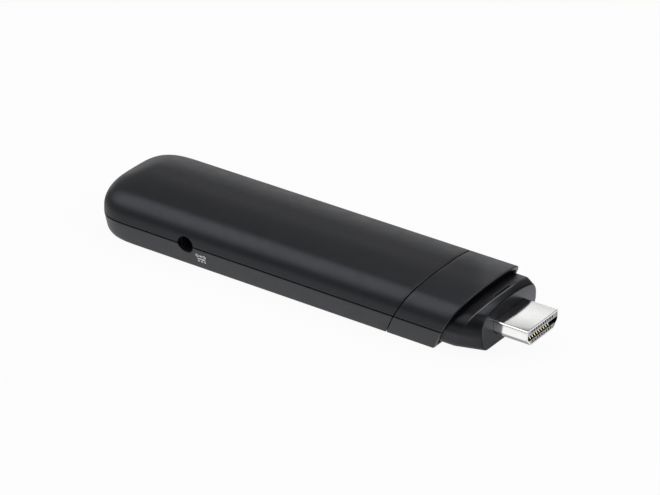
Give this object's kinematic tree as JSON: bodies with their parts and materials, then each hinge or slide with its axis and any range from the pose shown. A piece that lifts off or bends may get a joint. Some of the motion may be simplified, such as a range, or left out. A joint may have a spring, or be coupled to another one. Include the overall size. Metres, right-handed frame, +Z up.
{
  "type": "hdmi stick computer",
  "caption": "Slim rounded plastic bar with an HDMI plug at one end, a USB port at the other and a round power socket in its side, holding a small computer board.",
  "frame": {"origin": "middle of the overall length and width, on the underside", "axes": "+X along the length toward the HDMI plug, -Y the side with the power socket, +Z up"},
  "size_m": [0.122, 0.031, 0.0149],
  "materials": {
    "shell_plastic": "satin dark grey",
    "collar_plastic": "satin dark grey",
    "nose_plastic": "glossy black",
    "plated_steel": "nickel plated",
    "insulator_plastic": "moulded light grey",
    "black_insulator": "moulded black",
    "gold_contact": "gold plated",
    "board_laminate": "solder mask",
    "chip_plastic": "moulded black",
    "spreader_metal": "extruded",
    "pad_rubber": "soft",
    "ferrite": "sintered grey",
    "capacitor_ceramic": "fired",
    "plunger_plastic": "moulded",
    "screw_steel": "zinc plated"
  },
  "bodies": {
    "stick": {"upper_shell": "shell_plastic", "lower_shell": "shell_plastic", "upper_collar": "collar_plastic", "lower_collar": "collar_plastic", "nose": "nose_plastic", "hdmi_shell": "plated_steel", "hdmi_insulator": "insulator_plastic", "hdmi_contacts": "gold_contact", "mainboard": "board_laminate", "processor": "chip_plastic", "thermal_pad": "pad_rubber", "heat_spreader": "spreader_metal", "memory_chips": "chip_plastic", "storage_chip": "chip_plastic", "power_chip": "chip_plastic", "inductors": "ferrite", "capacitors": "capacitor_ceramic", "crystal": "plated_steel", "wireless_module": "board_laminate", "wireless_shield": "plated_steel", "antenna": "gold_contact", "usb_shell": "plated_steel", "usb_tongue": "black_insulator", "usb_contacts": "gold_contact", "jack_housing": "black_insulator", "jack_pin": "plated_steel", "jack_spring": "plated_steel", "switch_body": "black_insulator", "screws": "screw_steel"},
    "reset_plunger": {"switch_plunger": "plunger_plastic"}
  },
  "joints": [
    {"name": "reset_press", "type": "slide", "parent": "stick", "child": "reset_plunger", "axis": [0, -1, 0], "range_m": [0, 0.00025], "stiffness_N_per_m": 6000}
  ]
}
